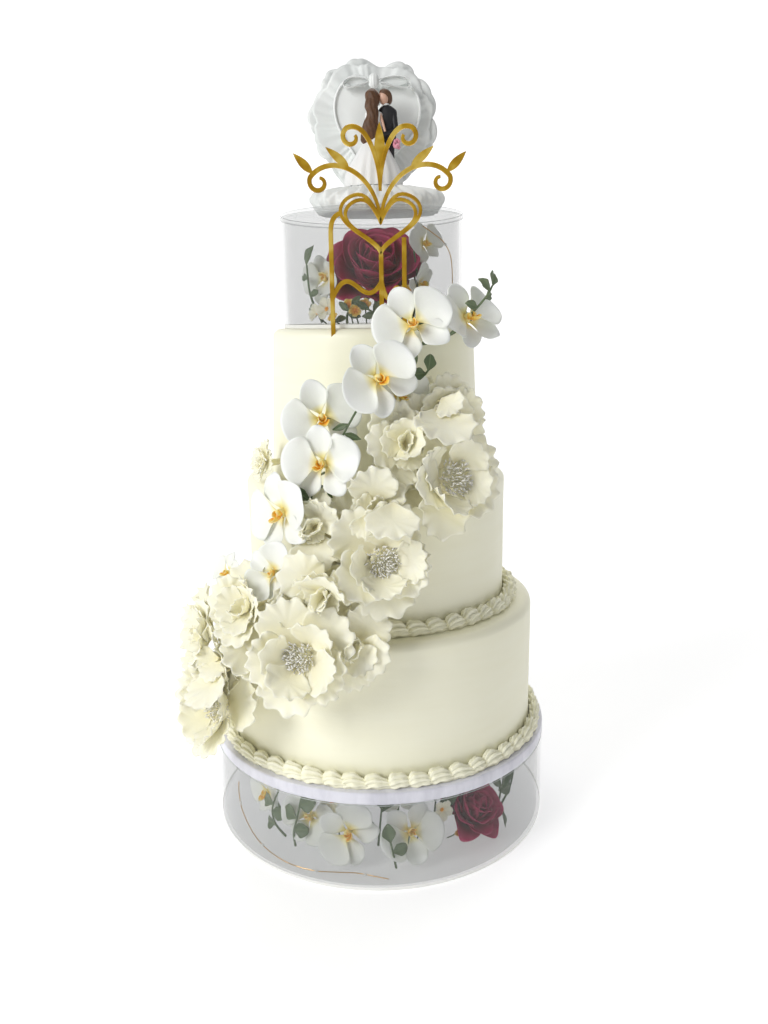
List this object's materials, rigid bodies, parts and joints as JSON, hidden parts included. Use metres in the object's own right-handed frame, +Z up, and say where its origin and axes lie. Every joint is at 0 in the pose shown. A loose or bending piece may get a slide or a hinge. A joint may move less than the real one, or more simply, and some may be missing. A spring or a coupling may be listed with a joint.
{
  "type": "tiered wedding cake",
  "caption": "Three buttercream tiers with a flower cascade, clear flower-filled tiers below and above, a heart topper and a gold ornament.",
  "frame": {"origin": "centre of the underside of the lower clear tier", "axes": "+Z up through the tiers, -Y towards the front where the flower cascade shows, +X to the right seen from the front"},
  "size_m": [0.3215, 0.3292, 0.6563],
  "materials": {
    "buttercream": "satin buttercream, smoothed",
    "piped_buttercream": "satin buttercream, piped shells",
    "sugar_petal": "matt sugar paste",
    "orchid_petal": "smooth white with a yellow and orange throat",
    "leaf": "grey green",
    "rose_petal": "deep burgundy velvet",
    "clear_acrylic": "clear, polished",
    "board_wrap": "white wrapping paper with a satin edge",
    "gold_acrylic": "mirror gold",
    "copper_wire": "bare copper",
    "topper_fabric": "white gathered organza and satin",
    "couple_resin": "painted resin: white, black, brown and skin tones"
  },
  "bodies": {
    "root": {"border_low": "piped_buttercream", "border_middle": "piped_buttercream", "cake_board": "board_wrap", "gold_ornament": "gold_acrylic", "light_wire_lower": "copper_wire", "light_wire_upper": "copper_wire", "lower_clear_tier": "clear_acrylic", "lower_orchid_1": "orchid_petal", "lower_orchid_2": "orchid_petal", "lower_orchid_3": "orchid_petal", "lower_orchid_4": "orchid_petal", "lower_orchid_5": "orchid_petal", "lower_orchid_6": "orchid_petal", "lower_rose_1": "rose_petal", "lower_rose_2": "rose_petal", "lower_sprig_1": "leaf", "lower_sprig_2": "leaf", "orchid_1": "orchid_petal", "orchid_2": "orchid_petal", "orchid_3": "orchid_petal", "orchid_4": "orchid_petal", "orchid_5": "orchid_petal", "orchid_6": "orchid_petal", "orchid_7": "orchid_petal", "orchid_8": "orchid_petal", "orchid_9": "orchid_petal", "peony_1": "sugar_petal", "peony_10": "sugar_petal", "peony_11": "sugar_petal", "peony_12": "sugar_petal", "peony_2": "sugar_petal", "peony_3": "sugar_petal", "peony_4": "sugar_petal", "peony_5": "sugar_petal", "peony_6": "sugar_petal", "peony_7": "sugar_petal", "peony_8": "sugar_petal", "peony_9": "sugar_petal", "small_flower": "sugar_petal", "sprig_1": "leaf", "sprig_2": "leaf", "sprig_3": "leaf", "tier_1": "buttercream", "tier_2": "buttercream", "tier_3": "buttercream", "topper_bow": "topper_fabric", "topper_couple": "couple_resin", "topper_heart": "topper_fabric", "topper_pouf": "topper_fabric", "topper_ruffle": "topper_fabric", "upper_clear_lid": "clear_acrylic", "upper_clear_tier": "clear_acrylic", "upper_orchid_1": "orchid_petal", "upper_orchid_2": "orchid_petal", "upper_orchid_3": "orchid_petal", "upper_rose": "rose_petal", "upper_sprig_1": "leaf", "upper_sprig_2": "leaf"}
  },
  "joints": []
}
